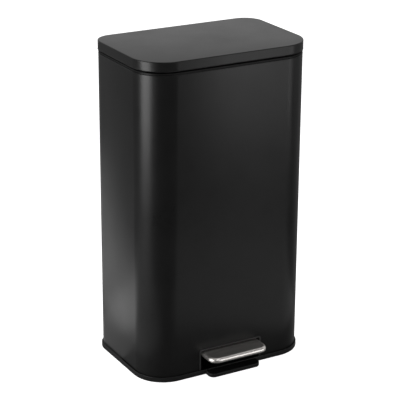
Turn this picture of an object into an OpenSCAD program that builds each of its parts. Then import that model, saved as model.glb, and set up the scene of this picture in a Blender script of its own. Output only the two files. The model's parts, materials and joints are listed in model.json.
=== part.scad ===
// Free-standing pedal bin: a folded steel body on a moulded base, with a lid that is hinged behind
// the body. Pressing the pedal tips a lever, which pushes a vertical rod up. The rod lifts a crank
// on the lid's hinge, and a damper beside the rod slows the lid as it closes.
// Millimetres, +Z up. The front faces -Y and the floor is at z = 0.

/* [Body] */
// Width of the steel body
body_w = 345.6; // [330:0.1:360]
// Depth of the steel body, front to back
body_d = 225.4; // [220:0.1:235]
// Height of the closed bin above the floor
total_h = 620; // [600:1:650]
// Radius of the body's two front corners
front_r = 60.3; // [50:0.1:62]
// Radius of the body's two rear corners
rear_r = 36.7; // [34:0.1:42]
// Thickness of the painted steel sheet
sheet_t = 0.8; // [0.6:0.1:1]

/* [Lid] */
// Height of the lid's skirt
lid_h = 18; // [17:0.5:19]
// How far the lid stands out past the body
lid_over = 0.8; // [0.5:0.1:1]
// Height of the gaps above and below the collar's bead
lid_gap = 2.3; // [2:0.1:2.4]

/* [Base] */
// How far the base ring stands out past the body
ring_over = 2.8; // [2:0.1:4]
// Top of the base ring's lip
ring_top = 11; // [10:0.5:13]
// Height of the rubber feet below the base ring
foot_gap = 1; // [0.5:0.5:2]
// Width of the tongue under the pedal
tongue_w = 110; // [100:1:120]
// Reach of the tongue in front of the body
tongue_reach = 24; // [18:1:28]

/* [Pedal] */
// Width of the pedal
pedal_w = 124; // [110:1:124]
// Reach of the pedal in front of the body
pedal_reach = 41; // [36:1:45]
// Height of the pedal's top surface at rest
pedal_top = 48; // [47:0.5:48]
// Radius of the pedal's front corners, seen from above
pedal_corner_r = 18; // [12:1:20]
// Radius of the rolled edge of the pedal's cap
pedal_roll_r = 6; // [4:0.5:6]

/* [Bucket] */
// Height of the bucket's underside above the floor
bucket_z = 72; // [70:1:90]
// Thickness of the bucket's wall
bucket_t = 2; // [1.5:0.5:3]
// How much the bucket narrows on each side towards its bottom
bucket_draft = 6; // [2:1:10]

/* [Mechanism] */
// Distance of the lid's hinge pin behind the body
hinge_out = 10.6; // [10.6:0.1:11]
// Height of the hinge pin below the lid's skirt
hinge_drop = 10; // [9.5:0.5:10]
// Distance of the lift rod in front of the hinge pin
crank_arm = 24.5; // [23:0.5:25]
// Travel of the lift rod
rod_travel = 39; // [36:0.5:40]
// Distance of the pedal's axle behind the front of the body
axle_in = 52.7; // [48:0.1:58]
// Height of the pedal's axle
axle_z = 36; // [35:0.5:36]

/* [Hidden] */
$fn = 96;

// Fits
run_gap = 0.05;
free_gap = 0.3;
cut = 1;

// Plan: the origin is midway between the pedal's nose and the back of the hinge housing
housing_r = 11.4;
housing_out = hinge_out + housing_r;
body_cy = (pedal_reach - housing_out) / 2;
front_y = body_cy - body_d / 2;
rear_y = body_cy + body_d / 2;
nose_y = front_y - pedal_reach;

// Levels of the base
base_z = foot_gap;
plate_z = 3;
plate_top = 6;
shell_z = 7;
upstand_top = 30;

// Levels of the top
lid_z = total_h - lid_h;
deck_top = lid_z - lid_gap;
deck_t = 2;
shell_top = deck_top - deck_t - lid_gap;
liner_z = lid_z + 5;
liner_t = 2;

// Opening of the collar, which the bucket hangs in
opening_in = 9;
opening_rear_in = 30.3;
opening_w = body_w - 2 * opening_in;
opening_d = body_d - opening_in - opening_rear_in;
opening_cy = front_y + opening_in + opening_d / 2;
opening_front_r = front_r - opening_in;
opening_rear_r = rear_r - opening_in;
wall_t = 1.6;
ledge_in = 5;
ledge_z = deck_top - 15.3;
ledge_t = 2;
skirt_in = sheet_t + free_gap;

// Bucket
rim_in = 0.8;
rim_t = 2.5;
rim_z = ledge_z + ledge_t;
bucket_in = 6.5;
grip_w = 80;
grip_h = 22;
grip_z = rim_z - 31;

// Pedal lever and rod
axle_y = front_y + axle_in;
axle_r = 4;
hinge_y = rear_y + hinge_out;
hinge_z = lid_z - hinge_drop;
rod_y = hinge_y - crank_arm;
rod_r = 3;
rod_eye_r = 6;
rod_pin_r = 2.5;
rod_pin_head_r = 4.5;
rod_low_z = axle_z - rod_travel / 2;
rod_high_z = hinge_z - rod_travel / 2;
lever_half_w = 22;
lever_t = 2;
lever_top = pedal_top - 4;
lever_front_y = nose_y + 12;
bush_r = 6;
pedal_depth = pedal_reach + 14;
cap_t = 1;
cap_bottom = pedal_top - 8;
core_bottom = pedal_top - 10;

// The pedal's way through the front of the body
cutout_w = pedal_w + 5;
cutout_top = pedal_top + 2;
cutout_r = 3;
bezel_t = 0.8;
bezel_flange = 3;
bezel_proud = 1;

// Lid hinge
hinge_pin_r = 3;
ear_t = 2;
ear_x = 39;
crank_x = 4;
crank_t = 2.5;
crank_rest_angle = 40;
crank_slot_in = crank_arm;
crank_slot_out = crank_arm + 6.8;
crank_slot_r = rod_pin_r + 1.1;
crank_edge_r = 7;
notch_half_w = 10;
lug_t = 2;

// Damper
damper_x = 26;
damper_z = 300;
damper_h = 120;
damper_r = 7.5;
damper_rod_r = 2;
cross_arm_z = damper_z - 50;
cross_arm_h = 8;

// Fasteners
screw_r = 1.6;
screw_head_r = 3.2;
screw_head_h = 1.5;
foot_r = 9;
foot_x = 140;
foot_dy = 80;
tab_places = [body_cy - 36, body_cy + 50];
base_screw_x = body_w / 2 - 10.8;

// Rounded rectangle about the origin, with its own radius at the front and at the rear corners
module outline(w, d, rf, rr) {
    translate([-w / 2, -d / 2 + rf]) square([w, d - rf - rr]);
    translate([-w / 2 + rf, -d / 2]) square([w - 2 * rf, d / 2]);
    translate([-w / 2 + rr, 0]) square([w - 2 * rr, d / 2]);
    for (s = [-1, 1]) {
        translate([s * (w / 2 - rf), -d / 2 + rf]) circle(r = rf);
        translate([s * (w / 2 - rr), d / 2 - rr]) circle(r = rr);
    }
}

// The body's outline, moved in by a distance
module body_outline(inset) {
    translate([0, body_cy])
        outline(body_w - 2 * inset, body_d - 2 * inset, front_r - inset, rear_r - inset);
}

// The collar opening's outline, moved in by a distance
module opening_outline(inset) {
    translate([0, opening_cy])
        outline(opening_w - 2 * inset, opening_d - 2 * inset, opening_front_r - inset,
            opening_rear_r - inset);
}

// A wall between two offsets of the body's outline
module body_wall(z0, z1, inset, thickness) {
    translate([0, 0, z0]) difference() {
        linear_extrude(z1 - z0) body_outline(inset);
        translate([0, 0, -cut]) linear_extrude(z1 - z0 + 2 * cut) body_outline(inset + thickness);
    }
}

// The same wall around the collar's opening
module opening_wall(z0, z1, inset, thickness) {
    translate([0, 0, z0]) difference() {
        linear_extrude(z1 - z0) opening_outline(inset);
        translate([0, 0, -cut]) linear_extrude(z1 - z0 + 2 * cut) opening_outline(inset + thickness);
    }
}

// A profile carried in a straight line along Y: its x points outwards along +X, its y points up
module straight_run(length) {
    rotate([90, 0, 0]) translate([0, 0, -length / 2]) linear_extrude(length) children();
}

// A profile carried all the way round the body's outline. x = 0 is the outline itself
module body_run() {
    translate([0, body_cy, 0]) {
        for (m = [0, 1]) mirror([m, 0, 0]) {
            translate([body_w / 2, (front_r - rear_r) / 2, 0])
                straight_run(body_d - front_r - rear_r) children();
            translate([body_w / 2 - front_r, -body_d / 2 + front_r, 0]) rotate([0, 0, -90])
                rotate_extrude(angle = 90) translate([front_r, 0]) children();
            translate([body_w / 2 - rear_r, body_d / 2 - rear_r, 0])
                rotate_extrude(angle = 90) translate([rear_r, 0]) children();
        }
        translate([0, -body_d / 2, 0]) rotate([0, 0, -90])
            straight_run(body_w - 2 * front_r) children();
        translate([0, body_d / 2, 0]) rotate([0, 0, 90])
            straight_run(body_w - 2 * rear_r) children();
    }
}

// Outline of a tab that starts at its front edge, y = 0, and runs back, with round front corners
module tab_outline(w, depth, r, inset) {
    translate([-w / 2 + inset, r]) square([w - 2 * inset, depth - r]);
    translate([-w / 2 + r, inset]) square([w - 2 * r, depth - inset]);
    for (s = [-1, 1]) translate([s * (w / 2 - r), r]) circle(r = r - inset);
}

// A profile carried along the two sides and the front of such a tab
module tab_run(w, depth, r) {
    for (m = [0, 1]) mirror([m, 0, 0]) {
        translate([w / 2, (depth + r) / 2, 0]) straight_run(depth - r) children();
        translate([w / 2 - r, r, 0]) rotate([0, 0, -90])
            rotate_extrude(angle = 90) translate([r, 0]) children();
    }
    rotate([0, 0, -90]) straight_run(w - 2 * r) children();
}

// A flat shape in the YZ plane, carried from x0 to x1
module across(x0, x1) {
    translate([x0, 0, 0]) rotate([90, 0, 90]) linear_extrude(x1 - x0) children();
}

// A round bar along X, along Y or along Z
module bar_x(x0, x1, r, y, z) {
    translate([x0, y, z]) rotate([0, 90, 0]) cylinder(h = x1 - x0, r = r);
}
module bar_y(y0, y1, r, x, z) {
    translate([x, y1, z]) rotate([90, 0, 0]) cylinder(h = y1 - y0, r = r);
}
module bar_z(z0, z1, r, x, y) {
    translate([x, y, z0]) cylinder(h = z1 - z0, r = r);
}

// A box given by its lowest and highest corners
module block(low, high) {
    translate(low) cube(high - low);
}

// An arch in the XZ plane that stands on the base ring, carried from y0 to y1
module arch(w, top, r, y0, y1) {
    translate([0, y1, 0]) rotate([90, 0, 0]) linear_extrude(y1 - y0) {
        translate([-w / 2, ring_top]) square([w, top - r - ring_top]);
        translate([-w / 2 + r, ring_top]) square([w - 2 * r, top - ring_top]);
        for (s = [-1, 1]) translate([s * (w / 2 - r), top - r]) circle(r = r);
    }
}

// ---- Base ----

// Section of the base ring's rim: a rounded lip outside a groove that holds the body's lower edge
module ring_section() {
    lip_r = 1;
    toe_r = 1.4;
    translate([-opening_in, base_z]) square([opening_in + ring_over - toe_r, plate_top - base_z]);
    translate([ring_over - 2 * lip_r, base_z + toe_r])
        square([2 * lip_r, ring_top - lip_r - base_z - toe_r]);
    translate([ring_over - lip_r, ring_top - lip_r]) circle(r = lip_r);
    translate([ring_over - toe_r, base_z + toe_r]) circle(r = toe_r);
}

// Section of the tongue's edge, rounded above and below
module tongue_section() {
    edge_r = 1.5;
    tongue_top = 9;
    translate([-4, base_z]) square([4 - edge_r, tongue_top - base_z]);
    translate([-edge_r, base_z + edge_r]) square([edge_r, tongue_top - base_z - 2 * edge_r]);
    for (z = [base_z + edge_r, tongue_top - edge_r]) translate([-edge_r, z]) circle(r = edge_r);
}

module axle_saddle(x0, x1) {
    foot_half = 14;
    boss_r = 9;
    across(x0, x1) difference() {
        union() {
            translate([axle_y, axle_z]) circle(r = boss_r);
            polygon([
                [axle_y - foot_half, plate_top - cut], [axle_y + foot_half, plate_top - cut],
                [axle_y + boss_r, axle_z], [axle_y - boss_r, axle_z]
            ]);
        }
        translate([axle_y, axle_z]) circle(r = axle_r);
    }
}

module base_ring() {
    rib_t = 2;
    stop_y = front_y + 18;
    boss_r = 4.5;
    tongue_corner_r = 11;
    color("#161616") difference() {
        union() {
            body_run() ring_section();
            translate([0, 0, plate_z]) linear_extrude(plate_top - plate_z) body_outline(8);
            body_wall(plate_top - cut, upstand_top, skirt_in, 2);
            translate([0, front_y - tongue_reach, 0]) {
                tab_run(tongue_w, tongue_reach, tongue_corner_r) tongue_section();
                translate([0, 0, base_z])
                    linear_extrude(8) tab_outline(tongue_w, tongue_reach, tongue_corner_r, 3);
            }
            for (x = [-90, -30, 30, 90])
                block([x - rib_t / 2, front_y + 8, base_z + 0.5], [x + rib_t / 2, rear_y - 8, plate_z]);
            for (y = [body_cy - 50, body_cy, body_cy + 50])
                block([8 - body_w / 2, y - rib_t / 2, base_z + 0.5],
                    [body_w / 2 - 8, y + rib_t / 2, plate_z]);
            for (s = [-1, 1]) {
                axle_saddle(s > 0 ? 26 : -32, s > 0 ? 32 : -26);
                for (y = tab_places)
                    bar_z(plate_top - cut, 16, boss_r, s * base_screw_x, y);
            }
            block([-lever_half_w - 2, stop_y - 4, plate_top - cut], [lever_half_w + 2, stop_y + 4, 19]);
        }
        block([-cutout_w / 2 - 3, front_y + 0.4, plate_top], [cutout_w / 2 + 3, front_y + 10, 40]);
        for (s = [-1, 1]) for (y = tab_places) {
            bar_z(0, 17, screw_r, s * base_screw_x, y);
            bar_z(0, plate_z, screw_head_r + 0.4, s * base_screw_x, y);
            block([s * body_w / 2 - 6, y - 14, 15.5], [s * body_w / 2 + 6, y + 14, 40]);
        }
    }
}

module foot(sx, sy) {
    color("#2b2b2b") translate([sx * foot_x, body_cy + sy * foot_dy, 0]) {
        edge = 1;
        translate([0, 0, edge]) cylinder(h = plate_z - edge, r = foot_r);
        cylinder(h = edge, r1 = foot_r - edge, r2 = foot_r);
    }
}
module foot_front_left() { foot(-1, -1); }
module foot_front_right() { foot(1, -1); }
module foot_rear_left() { foot(-1, 1); }
module foot_rear_right() { foot(1, 1); }

module base_screws() {
    color("#b8b8b8") for (s = [-1, 1]) for (y = tab_places) {
        bar_z(plate_z - 1.4, plate_z, screw_head_r, s * base_screw_x, y);
        bar_z(plate_z, 19, screw_r, s * base_screw_x, y);
    }
}

// ---- Body ----

module outer_shell() {
    tab_z = 16;
    tab_t = 1.2;
    tab_w = 16.4;
    bead_r = 0.6;
    seam_w = 7;
    seam_t = 0.6;
    guide_hole_r = screw_r + 0.2;
    color("#2f2f2f") difference() {
        union() {
            body_wall(shell_z, shell_top - bead_r, 0, sheet_t);
            body_run() translate([-sheet_t / 2, shell_top - bead_r]) circle(r = bead_r, $fn = 32);
            block([-seam_w / 2, rear_y - sheet_t / 2, ring_top + 1],
                [seam_w / 2, rear_y + seam_t, hinge_z - 52]);
            for (m = [0, 1]) mirror([m, 0, 0]) for (y = tab_places)
                block([body_w / 2 - tab_w, y - 11, tab_z],
                    [body_w / 2 - sheet_t / 2, y + 11, tab_z + tab_t]);
        }
        arch(cutout_w + 2.2, cutout_top + 1.1, cutout_r + 1.1, front_y - 5, front_y + 5);
        block([-cutout_w / 2 - 1.1, front_y - 5, 0], [cutout_w / 2 + 1.1, front_y + 5, ring_top + 1]);
        block([-notch_half_w, rear_y - 5, hinge_z - 21], [notch_half_w, rear_y + 5, total_h]);
        for (s = [-1, 1]) {
            for (y = tab_places) bar_z(0, 30, screw_r, s * base_screw_x, y);
            for (z = guide_heights) bar_y(rear_y - 5, rear_y + 5, guide_hole_r, s * guide_screw_x, z);
            for (x = hinge_screw_x) bar_y(rear_y - 5, rear_y + 5, guide_hole_r, s * x, hinge_screw_z);
        }
        for (z = clamp_heights) bar_y(rear_y - 5, rear_y + 5, guide_hole_r, damper_x, z);
    }
}

module pedal_bezel() {
    color("#141414") {
        difference() {
            arch(cutout_w + 2 * bezel_flange, cutout_top + bezel_flange, cutout_r + 2,
                front_y - bezel_proud, front_y);
            arch(cutout_w, cutout_top, cutout_r, front_y - 5, front_y + 5);
        }
        difference() {
            arch(cutout_w + 2 * bezel_t, cutout_top + bezel_t, cutout_r + bezel_t,
                front_y - bezel_proud, front_y + 7);
            arch(cutout_w, cutout_top, cutout_r, front_y - 5, front_y + 10);
        }
    }
}

module top_collar() {
    bead_r = deck_t / 2;
    color("#141414") difference() {
        union() {
            body_wall(deck_top - deck_t, deck_top, bead_r, 9);
            body_run() translate([-bead_r, deck_top - bead_r]) circle(r = bead_r, $fn = 32);
            translate([0, 0, deck_top - deck_t]) difference() {
                linear_extrude(deck_t) body_outline(8);
                translate([0, 0, -cut]) linear_extrude(deck_t + 2 * cut) opening_outline(0);
            }
            body_wall(shell_top - 22, deck_top - deck_t, skirt_in, wall_t);
            opening_wall(ledge_z + ledge_t, deck_top - deck_t, -wall_t, wall_t);
        }
        block([-notch_half_w - 2, rear_y - opening_rear_in - 3, ledge_z - 20],
            [notch_half_w + 2, rear_y + 5, total_h]);
        translate([0, 0, ledge_z + ledge_t]) linear_extrude(deck_top) opening_outline(0);
    }
}

// Ring under the collar's wall that the bucket's rim rests on
module bucket_ring() {
    color("#141414") difference() {
        opening_wall(ledge_z, ledge_z + ledge_t, -wall_t, ledge_in + wall_t);
        block([-notch_half_w - 2, rear_y - opening_rear_in - 3, ledge_z - cut],
            [notch_half_w + 2, rear_y + 5, total_h]);
    }
}

// ---- Hinge on the body ----

hinge_screw_x = [15, 40];
hinge_screw_z = hinge_z - 26;
housing_screw_x = 26;
housing_screw_z = hinge_z - 34;
plate_half_w = 56;

// Outline of a lug that carries the hinge pin, in the YZ plane
module lug_outline() {
    lug_r = 6;
    difference() {
        union() {
            translate([hinge_y, hinge_z]) circle(r = lug_r);
            polygon([
                [rear_y + 0.5, hinge_z - 34], [rear_y + 0.5, hinge_z - 10],
                [hinge_y - lug_r, hinge_z], [hinge_y + lug_r, hinge_z], [hinge_y + lug_r - 1, hinge_z - 8]
            ]);
        }
        translate([hinge_y, hinge_z]) circle(r = hinge_pin_r);
    }
}

module hinge_bracket() {
    color("#9a9a9a") difference() {
        union() {
            block([-plate_half_w, rear_y, hinge_z - 40], [plate_half_w, rear_y + 1.5, hinge_z - 9]);
            for (s = [-1, 1]) for (x = [32, 46])
                across(s > 0 ? x : -x - lug_t, s > 0 ? x + lug_t : -x) lug_outline();
        }
        block([-notch_half_w, rear_y - cut, hinge_z - 21], [notch_half_w, rear_y + 3, hinge_z]);
        for (s = [-1, 1]) {
            for (x = hinge_screw_x) bar_y(rear_y - cut, rear_y + 3, screw_r, s * x, hinge_screw_z);
            bar_y(rear_y - cut, rear_y + 3, screw_r, s * housing_screw_x, housing_screw_z);
        }
    }
}

module hinge_pin() {
    color("#c8c8c8") {
        bar_x(-51, 51, hinge_pin_r, hinge_y, hinge_z);
        bar_x(-53, -51, hinge_pin_r + 1.5, hinge_y, hinge_z);
        bar_x(51, 52.5, hinge_pin_r + 1.5, hinge_y, hinge_z);
    }
}

module hinge_screws() {
    color("#b8b8b8") for (s = [-1, 1]) for (x = hinge_screw_x) {
        bar_y(rear_y + 1.5, rear_y + 1.5 + screw_head_h, screw_head_r, s * x, hinge_screw_z);
        bar_y(rear_y - 6, rear_y + 1.5, screw_r, s * x, hinge_screw_z);
        bar_y(rear_y - sheet_t - 3.2, rear_y - sheet_t, 3, s * x, hinge_screw_z);
    }
}

// Outline of the hinge housing in the YZ plane, moved in by a distance
module housing_outline(inset) {
    housing_low = hinge_z - 46;
    toe_r = 8;
    intersection() {
        translate([rear_y, housing_low - 5]) square([housing_out + 5, 80]);
        union() {
            translate([hinge_y, hinge_z]) circle(r = housing_r - inset);
            translate([rear_y, housing_low + toe_r])
                square([housing_out - inset, hinge_z - housing_low - toe_r]);
            translate([rear_y, housing_low + inset]) square([housing_out - toe_r, 20]);
            translate([rear_y + housing_out - toe_r, housing_low + toe_r]) circle(r = toe_r - inset);
        }
    }
}

module hinge_housing() {
    half_w = 62;
    wall = 2;
    boss_r = 4.6;
    color("#161616") difference() {
        union() {
            difference() {
                across(-half_w, half_w) housing_outline(0);
                across(wall - half_w, half_w - wall) housing_outline(wall);
            }
            for (s = [-1, 1])
                bar_y(rear_y + 1.5, rear_y + housing_out - wall / 2, boss_r, s * housing_screw_x,
                    housing_screw_z);
        }
        for (x = ear_centres) {
            block([x - 2.4, rear_y - cut, hinge_z + 1], [x + 2.4, rear_y + housing_out + cut, hinge_z + 14]);
            block([x - 2.4, rear_y - cut, hinge_z - 3], [x + 2.4, rear_y + 3.5, hinge_z + 2]);
        }
        block([-70, rear_y - cut, shell_top - 2], [70, rear_y + 0.3, shell_top + 2]);
        for (s = [-1, 1]) {
            bar_y(rear_y, rear_y + housing_out + cut, screw_r, s * housing_screw_x, housing_screw_z);
            bar_y(rear_y + housing_out - screw_head_h - 0.3, rear_y + housing_out + cut,
                screw_head_r + 0.2, s * housing_screw_x, housing_screw_z);
        }
    }
}

module housing_screws() {
    color("#b8b8b8") for (s = [-1, 1]) {
        bar_y(rear_y + housing_out - screw_head_h - 0.3, rear_y + housing_out - 0.3, screw_head_r,
            s * housing_screw_x, housing_screw_z);
        bar_y(rear_y + 0.2, rear_y + housing_out - screw_head_h - 0.3, screw_r,
            s * housing_screw_x, housing_screw_z);
    }
}

// ---- Guides and damper, fixed inside the rear wall ----

guide_h = 12;
guide_low_z = 126;
guide_high_z = 540;
guide_heights = [guide_low_z, guide_high_z];
guide_screw_x = 10;
clamp_h = 8;
clamp_heights = [damper_z + 14, damper_z + damper_h - 14];

module rod_guide(z) {
    rear_in = rear_y - sheet_t;
    nose_r = 7;
    color("#1c1c1c") difference() {
        union() {
            block([-14, rear_in - 7, z - guide_h / 2], [14, rear_in, z + guide_h / 2]);
            block([-nose_r, rod_y, z - guide_h / 2], [nose_r, rear_in - 5, z + guide_h / 2]);
            bar_z(z - guide_h / 2, z + guide_h / 2, nose_r, 0, rod_y);
        }
        bar_z(z - guide_h, z + guide_h, rod_r + run_gap, 0, rod_y);
        for (s = [-1, 1]) bar_y(rear_in - 9, rear_in + cut, screw_r, s * guide_screw_x, z);
    }
}
module rod_guide_upper() { rod_guide(guide_high_z); }
module rod_guide_lower() { rod_guide(guide_low_z); }

module damper_cylinder() {
    end_t = 3;
    color("#3a3a3a") difference() {
        bar_z(damper_z, damper_z + damper_h, damper_r, damper_x, rod_y);
        bar_z(damper_z + end_t, damper_z + damper_h - end_t, damper_r - 1.5, damper_x, rod_y);
        bar_z(damper_z - cut, damper_z + end_t + cut, damper_rod_r + run_gap, damper_x, rod_y);
    }
}

module damper_clamps() {
    rear_in = rear_y - sheet_t;
    half_w = 10;
    color("#9a9a9a") for (z = clamp_heights) difference() {
        block([damper_x - half_w, rod_y - 3, z - clamp_h / 2], [damper_x + half_w, rear_in, z + clamp_h / 2]);
        bar_z(z - clamp_h, z + clamp_h, damper_r, damper_x, rod_y);
        bar_y(rear_in - 4.5, rear_in + cut, screw_r, damper_x, z);
    }
}

// Pan-head screws that hold the guides and the clamps, driven from behind the body
module rear_screw(x, z, length) {
    bar_y(rear_y, rear_y + screw_head_h, screw_head_r, x, z);
    bar_y(rear_y - length, rear_y, screw_r, x, z);
}
module rear_screws() {
    color("#b8b8b8") {
        for (s = [-1, 1]) for (z = guide_heights) rear_screw(s * guide_screw_x, z, 8);
        for (z = clamp_heights) rear_screw(damper_x, z, 5);
    }
}

// ---- Pedal ----

module pedal_stop_pad() {
    color("#2b2b2b")
        block([-lever_half_w - 2, front_y + 14.5, 19], [lever_half_w + 2, front_y + 21.5, 21.3]);
}

module pedal_axle() {
    color("#c8c8c8") bar_x(-37, 37, axle_r, axle_y, axle_z);
}

module axle_clips() {
    color("#9a9a9a") for (x = [-34.2, 33]) difference() {
        bar_x(x, x + 1.2, axle_r + 2.5, axle_y, axle_z);
        bar_x(x - cut, x + 1.2 + cut, axle_r, axle_y, axle_z);
    }
}

lever_knee_y = axle_y + 10;
lever_tail_y = rod_y - 14;
lever_tail_top = 24;
lever_slope = (lever_top - lever_tail_top) / (rod_y - 4 - lever_knee_y);

module lever_side() {
    slot_shift = 0.9;
    slot_at = sqrt(pow(rod_y - axle_y, 2) + pow(rod_travel / 2, 2)) - 0.6;
    slot_r = rod_pin_r + 0.5;
    tail_y = rod_y + 7.5;
    tail_bottom = 9.5;
    difference() {
        polygon([
            [lever_front_y, lever_top], [lever_knee_y, lever_top], [rod_y - 4, lever_tail_top],
            [tail_y, lever_tail_top], [tail_y, tail_bottom], [rod_y - 10, tail_bottom],
            [axle_y + 20, axle_z - 10], [axle_y - 10, axle_z - 9], [front_y + 6, axle_z - 4],
            [lever_front_y, core_bottom]
        ]);
        translate([axle_y, axle_z]) {
            circle(r = bush_r);
            rotate(-asin(rod_travel / 2 / (slot_at + 0.6))) translate([slot_at, 0]) {
                for (s = [-slot_shift, slot_shift]) translate([s, 0]) circle(r = slot_r);
                square([2 * slot_shift, 2 * slot_r], center = true);
            }
        }
    }
}

module pedal_lever() {
    web_end_z = lever_top - lever_slope * (lever_tail_y - lever_knee_y);
    color("#8e8e8e") difference() {
        union() {
            across(-lever_half_w, lever_t - lever_half_w) lever_side();
            across(lever_half_w - lever_t, lever_half_w) lever_side();
            across(-lever_half_w + lever_t / 2, lever_half_w - lever_t / 2) polygon([
                [lever_front_y, lever_top], [lever_knee_y, lever_top], [lever_tail_y, web_end_z],
                [lever_tail_y, web_end_z - lever_t], [lever_knee_y - 0.3, lever_top - lever_t],
                [lever_front_y, lever_top - lever_t]
            ]);
        }
        for (s = [-1, 1])
            bar_z(lever_top - 5, lever_top + cut, screw_r, s * 12, nose_y + 26);
    }
}

module lever_bushes() {
    color("#d8d8d0") for (s = [-1, 1]) difference() {
        union() {
            bar_x(s > 0 ? 19 : -25, s > 0 ? 25 : -19, bush_r, axle_y, axle_z);
            bar_x(s > 0 ? lever_half_w : -lever_half_w - 1.2, s > 0 ? lever_half_w + 1.2 : -lever_half_w,
                bush_r + 2, axle_y, axle_z);
        }
        bar_x(-40, 40, axle_r + run_gap, axle_y, axle_z);
    }
}

module pedal_core() {
    pocket_top = lever_top + 0.5;
    color("#141414") translate([0, nose_y, 0]) difference() {
        union() {
            translate([0, 0, core_bottom]) linear_extrude(pedal_top - pedal_roll_r - core_bottom)
                tab_outline(pedal_w, pedal_depth, pedal_corner_r, cap_t + 0.1);
            translate([0, 0, core_bottom + 1]) linear_extrude(pedal_top - cap_t - core_bottom - 1)
                tab_outline(pedal_w, pedal_depth, pedal_corner_r, pedal_roll_r);
        }
        block([-lever_half_w, 12, core_bottom - cut], [lever_half_w, pedal_depth + cut, lever_top]);
        for (s = [-1, 1]) {
            block([s * 41 - 15, 9, core_bottom - cut], [s * 41 + 15, pedal_depth - 4, pocket_top]);
            bar_z(lever_top - cut, lever_top + 2, screw_r, s * 12, 26);
        }
    }
}

// Section of the cap's rolled edge: a quarter round above a short flange
module cap_section() {
    r = pedal_roll_r;
    translate([-r, pedal_top - r]) intersection() {
        difference() {
            circle(r = r);
            circle(r = r - cap_t);
        }
        square([r, r]);
    }
    translate([-cap_t, cap_bottom]) square([cap_t, pedal_top - r - cap_bottom]);
}

module pedal_cap() {
    color("#a8a4a0") translate([0, nose_y, 0]) {
        tab_run(pedal_w, pedal_depth, pedal_corner_r) cap_section();
        translate([0, 0, pedal_top - cap_t])
            linear_extrude(cap_t) tab_outline(pedal_w, pedal_depth, pedal_corner_r, pedal_roll_r);
    }
}

module pedal_screws() {
    color("#b8b8b8") for (s = [-1, 1]) {
        bar_z(lever_top - lever_t - screw_head_h, lever_top - lever_t, screw_head_r, s * 12, nose_y + 26);
        bar_z(lever_top - lever_t, lever_top + 2, screw_r, s * 12, nose_y + 26);
    }
}

// ---- Lift rod ----

module lift_rod() {
    color("#c0c0c0") difference() {
        union() {
            bar_z(rod_low_z, rod_high_z, rod_r, 0, rod_y);
            for (z = [rod_low_z, rod_high_z]) bar_x(-rod_r, rod_r, rod_eye_r, rod_y, z);
        }
        for (z = [rod_low_z, rod_high_z]) bar_x(-10, 10, rod_pin_r, rod_y, z);
    }
}

module rod_top_pin() {
    head_x = crank_x + crank_t + 1;
    color("#c8c8c8") {
        bar_x(-5, head_x, rod_pin_r, rod_y, rod_high_z);
        bar_x(head_x, head_x + 1.5, rod_pin_head_r, rod_y, rod_high_z);
        bar_x(-6.5, -5, rod_pin_head_r, rod_y, rod_high_z);
    }
}

module rod_bottom_pin() {
    head_x = lever_half_w + 1.5;
    color("#c8c8c8") {
        bar_x(-head_x, head_x, rod_pin_r, rod_y, rod_low_z);
        for (x = [-head_x - 1.5, head_x]) bar_x(x, x + 1.5, rod_pin_head_r, rod_y, rod_low_z);
    }
}

module cross_arm() {
    color("#8e8e8e") difference() {
        union() {
            block([0, rod_y - 5, cross_arm_z], [damper_x, rod_y + 5, cross_arm_z + cross_arm_h]);
            for (x = [0, damper_x])
                bar_z(cross_arm_z, cross_arm_z + cross_arm_h, x > 0 ? 5 : 6.5, x, rod_y);
        }
        bar_z(0, total_h, rod_r, 0, rod_y);
        bar_z(0, total_h, damper_rod_r, damper_x, rod_y);
    }
}

module damper_rod() {
    piston_z = damper_z + 22;
    color("#c8c8c8") {
        bar_z(cross_arm_z, piston_z + 1, damper_rod_r, damper_x, rod_y);
        bar_z(piston_z, piston_z + 8, damper_r - 1.9, damper_x, rod_y);
    }
}

// ---- Lid ----

lid_edge_r = 1.3;
ear_centres = [-ear_x - ear_t / 2, crank_x + crank_t / 2, ear_x + ear_t / 2];

// Clearance in the lid's rear skirt for the hinge's ears
module ear_notches(gap) {
    for (x = ear_centres)
        block([x - gap, rear_y - 6, lid_z - 2], [x + gap, rear_y + 6, liner_z + 0.2]);
}

module lid_skin() {
    hem_r = 0.7;
    inner = lid_over - sheet_t;
    color("#3a3a3a") difference() {
        union() {
            difference() {
                translate([0, 0, lid_z + hem_r])
                    linear_extrude(lid_h - hem_r - lid_edge_r) body_outline(-lid_over);
                translate([0, 0, lid_z - cut]) linear_extrude(lid_h) body_outline(-inner);
            }
            body_run() translate([lid_over - lid_edge_r, total_h - lid_edge_r]) intersection() {
                difference() {
                    circle(r = lid_edge_r, $fn = 48);
                    circle(r = lid_edge_r - sheet_t, $fn = 48);
                }
                square(2 * lid_edge_r);
            }
            translate([0, 0, total_h - sheet_t])
                linear_extrude(sheet_t) body_outline(lid_edge_r - lid_over);
            body_run() translate([lid_over - sheet_t / 2, lid_z + hem_r]) circle(r = hem_r, $fn = 32);
        }
        ear_notches(2);
    }
}

module lid_liner() {
    color("#161616") difference() {
        union() {
            translate([0, 0, liner_z]) linear_extrude(liner_t) body_outline(free_gap + 0.2);
            body_wall(lid_z + 1, liner_z + cut, free_gap + 0.2, 2);
            body_wall(liner_z + liner_t - cut, total_h - sheet_t, 12, 2);
        }
        ear_notches(2);
        for (x = [-22, 22]) for (dy = lid_screw_rows)
            bar_z(liner_z - cut, liner_z + liner_t - 0.2, screw_r, x, rear_y - dy);
        for (p = bumper_places) bar_z(liner_z - cut, liner_z + 1, 1.5, p[0], p[1]);
    }
}

lid_screw_rows = [16, 34];
bumper_in = 6;
bumper_places = [
    [-(body_w / 2 - bumper_in), body_cy - 25], [body_w / 2 - bumper_in, body_cy - 25],
    [-60, front_y + bumper_in], [60, front_y + bumper_in]
];

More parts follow.
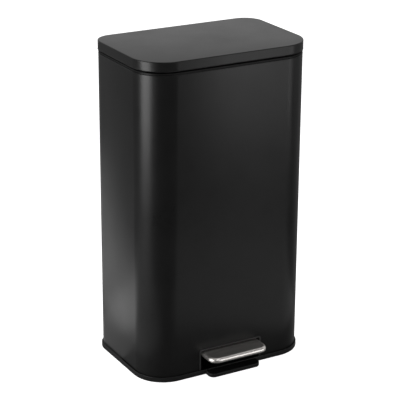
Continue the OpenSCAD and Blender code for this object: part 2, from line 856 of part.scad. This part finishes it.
module ear_outline() {
    boss_r = 6.5;
    translate([hinge_y, hinge_z]) circle(r = boss_r);
    polygon([
        [rear_y - 30, liner_z], [rear_y - 30, liner_z - 2], [rear_y - 24, lid_z + 1.4],
        [rear_y + 1.2, deck_top + 1.1],
        [hinge_y - boss_r, hinge_z + 0.5], [hinge_y, hinge_z], [hinge_y + 4.5, hinge_z + 4.5],
        [rear_y + 3, liner_z]
    ]);
}

// The crank's arm points forwards and down at rest, with a long slot for the rod's pin
module crank_outline() {
    translate([hinge_y, hinge_z]) rotate(180 + crank_rest_angle) difference() {
        union() {
            translate([0, -crank_edge_r]) square([crank_slot_out, 2 * crank_edge_r]);
            translate([crank_slot_out, 0]) circle(r = crank_edge_r);
        }
        for (x = [crank_slot_in, crank_slot_out]) translate([x, 0]) circle(r = crank_slot_r);
        translate([crank_slot_in, -crank_slot_r])
            square([crank_slot_out - crank_slot_in, 2 * crank_slot_r]);
    }
}

module lid_hinge_bracket() {
    half_w = 50;
    plate_t = 2;
    color("#9a9a9a") difference() {
        union() {
            block([-half_w, rear_y - 44, liner_z - plate_t], [half_w, rear_y - 3.5, liner_z]);
            across(-ear_x - ear_t, -ear_x) ear_outline();
            across(ear_x, ear_x + ear_t) ear_outline();
            across(crank_x, crank_x + crank_t) {
                ear_outline();
                crank_outline();
            }
        }
        bar_x(-60, 60, hinge_pin_r + run_gap, hinge_y, hinge_z);
        for (x = [-22, 22]) for (dy = lid_screw_rows)
            bar_z(liner_z - plate_t - cut, liner_z + cut, screw_r, x, rear_y - dy);
    }
}

module lid_screws() {
    color("#b8b8b8") for (x = [-22, 22]) for (dy = lid_screw_rows) {
        bar_z(liner_z - 2 - screw_head_h, liner_z - 2, screw_head_r, x, rear_y - dy);
        bar_z(liner_z - 2, liner_z + liner_t - 0.2, screw_r, x, rear_y - dy);
    }
}

module lid_bumpers() {
    color("#2b2b2b") for (p = bumper_places) {
        bar_z(deck_top + 0.1, liner_z, 2.5, p[0], p[1]);
        bar_z(liner_z, liner_z + 1, 1.5, p[0], p[1]);
    }
}

// ---- Bucket ----

// The bucket's tapered body: its outline narrows from the rim down, moved in by a distance
module bucket_form(inset, z0, z1) {
    w = opening_w - 2 * bucket_in;
    d = opening_d - 2 * bucket_in;
    h = rim_z + rim_t - bucket_z;
    narrow = 1 - (rim_z + rim_t - z0) / h;
    low_in = bucket_in + inset + bucket_draft * (1 - narrow);
    top_in = bucket_in + inset;
    translate([0, opening_cy, z1]) mirror([0, 0, 1]) linear_extrude(z1 - z0, slices = 1, scale = [
        (opening_w - 2 * low_in) / (opening_w - 2 * top_in),
        (opening_d - 2 * low_in) / (opening_d - 2 * top_in)
    ]) outline(w - 2 * inset, d - 2 * inset, opening_front_r - top_in, opening_rear_r - top_in);
}

module inner_bucket() {
    rim_top = rim_z + rim_t;
    color("#2a2a2a") difference() {
        union() {
            bucket_form(0, bucket_z, rim_top);
            translate([0, 0, rim_z]) linear_extrude(rim_t) opening_outline(rim_in);
        }
        difference() {
            bucket_form(bucket_t, bucket_z + 1, rim_top + cut);
            block([-body_w, front_y, bucket_z], [body_w, rear_y, bucket_z + 2.5]);
        }
        block([-body_w, opening_cy - grip_w / 2, grip_z], [body_w, opening_cy + grip_w / 2, grip_z + grip_h]);
    }
}

base_ring();
foot_front_left();
foot_front_right();
foot_rear_left();
foot_rear_right();
outer_shell();
pedal_bezel();
base_screws();
pedal_stop_pad();
pedal_axle();
axle_clips();
top_collar();
bucket_ring();
hinge_bracket();
hinge_pin();
hinge_screws();
hinge_housing();
housing_screws();
rod_guide_upper();
rod_guide_lower();
damper_cylinder();
damper_clamps();
rear_screws();
lid_skin();
lid_liner();
lid_hinge_bracket();
lid_screws();
lid_bumpers();
pedal_lever();
lever_bushes();
pedal_core();
pedal_cap();
pedal_screws();
lift_rod();
rod_top_pin();
rod_bottom_pin();
cross_arm();
damper_rod();
inner_bucket();
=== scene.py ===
import json
import math

import bpy
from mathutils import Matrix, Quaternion, Vector


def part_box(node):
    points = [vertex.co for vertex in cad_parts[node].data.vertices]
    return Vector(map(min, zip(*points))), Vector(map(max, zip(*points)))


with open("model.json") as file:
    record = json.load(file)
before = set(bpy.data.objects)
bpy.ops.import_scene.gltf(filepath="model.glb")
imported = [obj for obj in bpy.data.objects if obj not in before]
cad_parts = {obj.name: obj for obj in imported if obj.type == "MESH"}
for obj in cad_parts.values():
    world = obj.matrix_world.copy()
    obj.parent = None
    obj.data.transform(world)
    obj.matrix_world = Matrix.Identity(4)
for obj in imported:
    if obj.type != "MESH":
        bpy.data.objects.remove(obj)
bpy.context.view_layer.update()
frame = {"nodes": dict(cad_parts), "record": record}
NODES = frame["nodes"]

MM = 0.001

# The middle of the body in depth, from the collar, whose bead is exactly on the body's outline
collar_low, collar_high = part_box("top_collar")
BODY_CY = (collar_high.y + collar_low.y) / 2

# The camera, with angles in degrees and lengths in metres. It stands to the left of the front.
AZIMUTH, ELEVATION, ROLL = -29.56, 20.44, 0.34
DISTANCE, TARGET_Z, SIDEWAYS = 2.928, 0.3058, -0.0038
LENS_MM, SENSOR_MM = 138.4, 36

FLOOR_HALF = 9
FLOOR_TONE = 0.9
FLOOR_GLOW = 0.9

# Brightness of the sky and of what lies below the horizon, in front of the body and behind it
WORLD = {"front low": 0.08, "back low": 0.22, "front high": 0.08, "back high": 0.75}
HORIZON_SOFTNESS = 0.3

# Where the lights point: at the body's middle, or straight up from the floor
MIDDLE = (0, BODY_CY, 0.35)
UP = (0, 0, 1000)


# ---- Camera, floor and light ----

def make_camera():
    """A long lens, a little above the lid's height and to the left of the front."""
    azimuth, elevation, roll = map(math.radians, (AZIMUTH, ELEVATION, ROLL))
    back = Vector((math.sin(azimuth) * math.cos(elevation),
                   -math.cos(azimuth) * math.cos(elevation), math.sin(elevation)))
    turn = (-back).to_track_quat("-Z", "Y")
    right = turn @ Vector((1, 0, 0))
    data = bpy.data.cameras.new("camera")
    data.lens = LENS_MM
    data.sensor_width = SENSOR_MM
    camera = bpy.data.objects.new("camera", data)
    camera.location = Vector((0, BODY_CY, TARGET_Z)) + back * DISTANCE + right * SIDEWAYS
    camera.rotation_euler = (turn.to_matrix().to_4x4()).to_euler()
    camera.rotation_euler.rotate_axis("Z", roll)
    bpy.context.scene.collection.objects.link(camera)
    bpy.context.scene.camera = camera


def make_floor():
    """A white floor that the camera sees and reflections don't"""
    corners = [(x * FLOOR_HALF, y * FLOOR_HALF, 0) for x, y in ((-1, -1), (1, -1), (1, 1), (-1, 1))]
    mesh = bpy.data.meshes.new("floor")
    mesh.from_pydata(corners, [], [(0, 1, 2, 3)])
    floor = bpy.data.objects.new("floor", mesh)
    bpy.context.scene.collection.objects.link(floor)
    material = bpy.data.materials.new("floor")
    material.use_nodes = True
    shader = material.node_tree.nodes["Principled BSDF"]
    shader.inputs["Base Color"].default_value = (FLOOR_TONE, FLOOR_TONE, FLOOR_TONE, 1)
    shader.inputs["Roughness"].default_value = 0.8
    shader.inputs["Specular IOR Level"].default_value = 0.1
    shader.inputs["Emission Color"].default_value = (1, 1, 1, 1)
    shader.inputs["Emission Strength"].default_value = FLOOR_GLOW
    mesh.materials.append(material)
    floor.visible_glossy = False


def soft_box(name, place, aim, width, height, brightness, spin=0):
    """A rectangular light whose surface has the given brightness, where 1 is a white floor's"""
    data = bpy.data.lights.new(name, "AREA")
    data.shape = "RECTANGLE"
    data.size, data.size_y = width, height
    data.energy = brightness * math.pi * width * height
    lamp = bpy.data.objects.new(name, data)
    lamp.location = place
    lamp.rotation_mode = "QUATERNION"
    lamp.rotation_quaternion = (Vector(aim) - Vector(place)).to_track_quat("-Z", "Y")
    lamp.rotation_quaternion @= Quaternion((0, 0, 1), math.radians(spin))
    lamp.visible_camera = False
    bpy.context.scene.collection.objects.link(lamp)


def make_light():
    """A pale studio: a bright sky behind, soft boxes round and above, and lit patches of floor"""
    world = bpy.data.worlds.new("studio")
    world.use_nodes = True
    tree = world.node_tree
    background = tree.nodes["Background"]
    background.inputs["Color"].default_value = (1, 1, 1, 1)
    direction = tree.nodes.new("ShaderNodeSeparateXYZ")
    tree.links.new(tree.nodes.new("ShaderNodeTexCoord").outputs["Generated"], direction.inputs["Vector"])

    def between(low, high, source):
        """Goes from low to high as a component of the direction passes the horizon"""
        level = tree.nodes.new("ShaderNodeMapRange")
        level.interpolation_type = "SMOOTHSTEP"
        level.inputs["From Min"].default_value = -HORIZON_SOFTNESS
        level.inputs["From Max"].default_value = HORIZON_SOFTNESS
        tree.links.new(direction.outputs[source], level.inputs["Value"])
        for name, end in (("To Min", low), ("To Max", high)):
            if isinstance(end, float):
                level.inputs[name].default_value = end
            else:
                tree.links.new(end, level.inputs[name])
        return level.outputs["Result"]

    below = between(WORLD["front low"], WORLD["back low"], "Y")
    above = between(WORLD["front high"], WORLD["back high"], "Y")
    tree.links.new(between(below, above, "Z"), background.inputs["Strength"])
    bpy.context.scene.world = world
    bpy.context.scene.view_settings.view_transform = "Standard"
    for light in LIGHTS:
        soft_box(*light)


def around(azimuth, height, distance=1.7):
    """A place round the bin. Azimuth 0 is in front and 90 on the left."""
    turn = math.radians(azimuth)
    return (-math.sin(turn) * distance, BODY_CY - math.cos(turn) * distance, height)


# Name, place, aim, width, height, brightness and, where it isn't 0, the turn about its own axis
LIGHTS = [
    ("left", around(82.5, 0.3), MIDDLE, 0.90, 0.6, 9.4),
    ("left_edge", around(60, 0.3), MIDDLE, 0.45, 0.6, 0.8),
    ("front_right", around(-30, 0.3), MIDDLE, 0.45, 0.6, 3.3),
    ("front_right_edge", around(-50, 0.3), MIDDLE, 0.45, 0.6, 2.6),
    ("right", around(-75, 0.3), MIDDLE, 0.45, 0.6, 0.3),
    ("high", (0.3, -0.2, 2.6), (0, 0, 0.3), 1.6, 1.6, 0.6),
    ("front_high", (-0.2, -1.9, 1.5), (0, -0.1, 0.2), 1.3, 0.6, 3.4),
    ("floor_left", around(90, 0.01, 0.55), UP, 0.6, 0.6, 0.5),
    ("floor_front", around(-30, 0.01, 0.55), UP, 0.6, 0.6, 0.5),
    ("floor_back_left", (-0.33, 0.66, 0.01), UP, 0.24, 1.08, 0.72, 28.9),
    ("floor_beside", (-0.27, 0.17, 0.01), UP, 0.16, 0.46, 0.28),
    ("floor_back", (-0.02, 0.36, 0.01), UP, 0.3, 0.4, 0.5),
]


# ---- Materials ----

def node(tree, kind, **inputs):
    made = tree.nodes.new(kind)
    for name, value in inputs.items():
        made.inputs[name.replace("_", " ")].default_value = value
    return made


def ramp(tree, source, low, high, start=0.3, end=0.7):
    """A colour or grey ramp from low to high, driven by the source's factor"""
    made = tree.nodes.new("ShaderNodeValToRGB")
    made.color_ramp.elements[0].position, made.color_ramp.elements[1].position = start, end
    made.color_ramp.elements[0].color, made.color_ramp.elements[1].color = (*low, 1), (*high, 1)
    tree.links.new(source, made.inputs["Fac"])
    return made.outputs["Color"]


def bowed(tree, place, radii):
    """The normal of a sheet whose faces bulge slightly outwards about the body's middle"""
    offset = node(tree, "ShaderNodeVectorMath")
    offset.operation = "SUBTRACT"
    offset.inputs[1].default_value = (0, BODY_CY, 0)
    tree.links.new(place, offset.inputs[0])
    scaled = node(tree, "ShaderNodeVectorMath")
    scaled.operation = "MULTIPLY"
    scaled.inputs[1].default_value = ((2 * radii[0]) ** -0.5, (2 * radii[1]) ** -0.5, 0)
    tree.links.new(offset.outputs["Vector"], scaled.inputs[0])
    squared = node(tree, "ShaderNodeVectorMath")
    squared.operation = "DOT_PRODUCT"
    tree.links.new(scaled.outputs["Vector"], squared.inputs[0])
    tree.links.new(scaled.outputs["Vector"], squared.inputs[1])
    bulge = node(tree, "ShaderNodeBump", Strength=1, Distance=1)
    bulge.invert = True
    tree.links.new(squared.outputs["Value"], bulge.inputs["Height"])
    return bulge.outputs["Normal"]


def grey(level):
    return (level, level, level)


def material(name, dark, light, rough, rough_spread=0.05, metallic=0.0, specular=0.5, grain=900,
             grain_depth=0.02, stretch=(1, 1, 1), cloud=14, bow=None):
    """A procedural finish: cloudy colour and roughness, and a fine grain that can be stretched
    into brushing. A bow gives the radii that flat sheets bulge to along X and Y."""
    made = bpy.data.materials.new(name)
    made.use_nodes = True
    tree = made.node_tree
    shader = tree.nodes["Principled BSDF"]
    shader.inputs["Metallic"].default_value = metallic
    shader.inputs["Specular IOR Level"].default_value = specular
    place = tree.nodes.new("ShaderNodeTexCoord").outputs["Object"]
    mapping = tree.nodes.new("ShaderNodeMapping")
    mapping.inputs["Scale"].default_value = stretch
    tree.links.new(place, mapping.inputs["Vector"])
    clouds = node(tree, "ShaderNodeTexNoise", Scale=cloud, Detail=5, Roughness=0.6)
    tree.links.new(mapping.outputs["Vector"], clouds.inputs["Vector"])
    fine = node(tree, "ShaderNodeTexNoise", Scale=grain, Detail=3, Roughness=0.55)
    tree.links.new(mapping.outputs["Vector"], fine.inputs["Vector"])
    both = node(tree, "ShaderNodeMath")
    both.operation = "MULTIPLY_ADD"
    both.inputs[1].default_value = 0.5
    tree.links.new(fine.outputs["Fac"], both.inputs[0])
    half = node(tree, "ShaderNodeMath")
    half.operation = "MULTIPLY"
    half.inputs[1].default_value = 0.5
    tree.links.new(clouds.outputs["Fac"], half.inputs[0])
    tree.links.new(half.outputs["Value"], both.inputs[2])
    tree.links.new(ramp(tree, both.outputs["Value"], dark, light), shader.inputs["Base Color"])
    roughness = ramp(tree, both.outputs["Value"], grey(rough - rough_spread), grey(rough + rough_spread))
    tree.links.new(roughness, shader.inputs["Roughness"])
    bump = node(tree, "ShaderNodeBump", Strength=0.5, Distance=grain_depth * MM)
    tree.links.new(fine.outputs["Fac"], bump.inputs["Height"])
    if bow:
        tree.links.new(bowed(tree, place, bow), bump.inputs["Normal"])
    tree.links.new(bump.outputs["Normal"], shader.inputs["Normal"])
    return made


MATERIALS = {
    "black_steel": material("black_steel", grey(0.003), grey(0.005), 0.31, specular=0.25, bow=(1.8, 0.9)),
    "lid_steel": material("lid_steel", grey(0.003), grey(0.006), 0.32, specular=0.25, bow=(3.0, 1.6)),
    "base_plastic": material("base_plastic", grey(0.004), grey(0.007), 0.40, specular=0.25, grain=1400,
                             grain_depth=0.04),
    "black_plastic": material("black_plastic", grey(0.009), grey(0.014), 0.45, grain=1600, grain_depth=0.03),
    "collar_plastic": material("collar_plastic", grey(0.003), grey(0.005), 0.4, specular=0.13, grain=1600,
                               grain_depth=0.03),
    "bucket_plastic": material("bucket_plastic", grey(0.028), grey(0.036), 0.5, grain=700, grain_depth=0.05),
    "pedal_steel": material("pedal_steel", (0.90, 0.865, 0.83), (0.98, 0.945, 0.91), 0.36, 0.06, metallic=1,
                            grain=800, stretch=(0.02, 1, 1), cloud=300, grain_depth=0.015),
    "zinc_steel": material("zinc_steel", (0.42, 0.42, 0.41), (0.58, 0.58, 0.56), 0.42, 0.08, metallic=1,
                           grain=500, cloud=60),
    "bright_steel": material("bright_steel", (0.55, 0.55, 0.55), (0.70, 0.70, 0.70), 0.24, 0.06, metallic=1,
                             grain=900, stretch=(1, 1, 0.05), cloud=200, grain_depth=0.01),
    "screw_steel": material("screw_steel", (0.45, 0.45, 0.44), (0.6, 0.6, 0.58), 0.34, metallic=1, grain=700),
    "damper_black": material("damper_black", grey(0.012), grey(0.017), 0.25, grain=400, grain_depth=0.01),
    "rubber": material("rubber", grey(0.012), grey(0.02), 0.75, grain=1100, grain_depth=0.05, specular=0.3),
    "bush_nylon": material("bush_nylon", (0.62, 0.60, 0.55), (0.72, 0.70, 0.65), 0.45, grain=900),
}


# Finish of a piece that isn't its slot's
FINISH = {"top_collar": "collar_plastic"}
# Width of the broken edge in mm, and of a piece whose edges are softer than most
USUAL_EDGE = 0.2
BROKEN_EDGE = {"lid_skin": 0.35, "top_collar": 0.3}
# Pieces that keep their edges as modelled, since breaking them would leave slivers
CRISP = {"outer_shell", "base_ring", "inner_bucket", "pedal_lever"}

# Vertices closer than this in mm are one, and edges sharper than this in degrees are broken
WELD_GAP = 0.002
SHARP_ANGLE = 40


def dress_cad_nodes():
    """Every CAD node takes a finish. Its split vertices are welded and, unless it is crisp, its edges
    slightly broken.
    """
    slots = {part["node"]: part["material_slot"] for part in frame["record"]["subparts"]}
    for name, piece in NODES.items():
        piece.data.materials.clear()
        piece.data.materials.append(MATERIALS[FINISH.get(name, slots[name])])
        weld = piece.modifiers.new("weld", "WELD")
        weld.merge_threshold = WELD_GAP * MM
        if name not in CRISP:
            bevel = piece.modifiers.new("broken_edges", "BEVEL")
            bevel.width = BROKEN_EDGE.get(name, USUAL_EDGE) * MM
            bevel.segments = 2
            bevel.limit_method = "ANGLE"
            bevel.angle_limit = math.radians(SHARP_ANGLE)
            bevel.use_clamp_overlap = True
            bevel.harden_normals = False
        normals = piece.modifiers.new("normals", "WEIGHTED_NORMAL")
        normals.keep_sharp = False


dress_cad_nodes()
make_camera()
make_floor()
make_light()
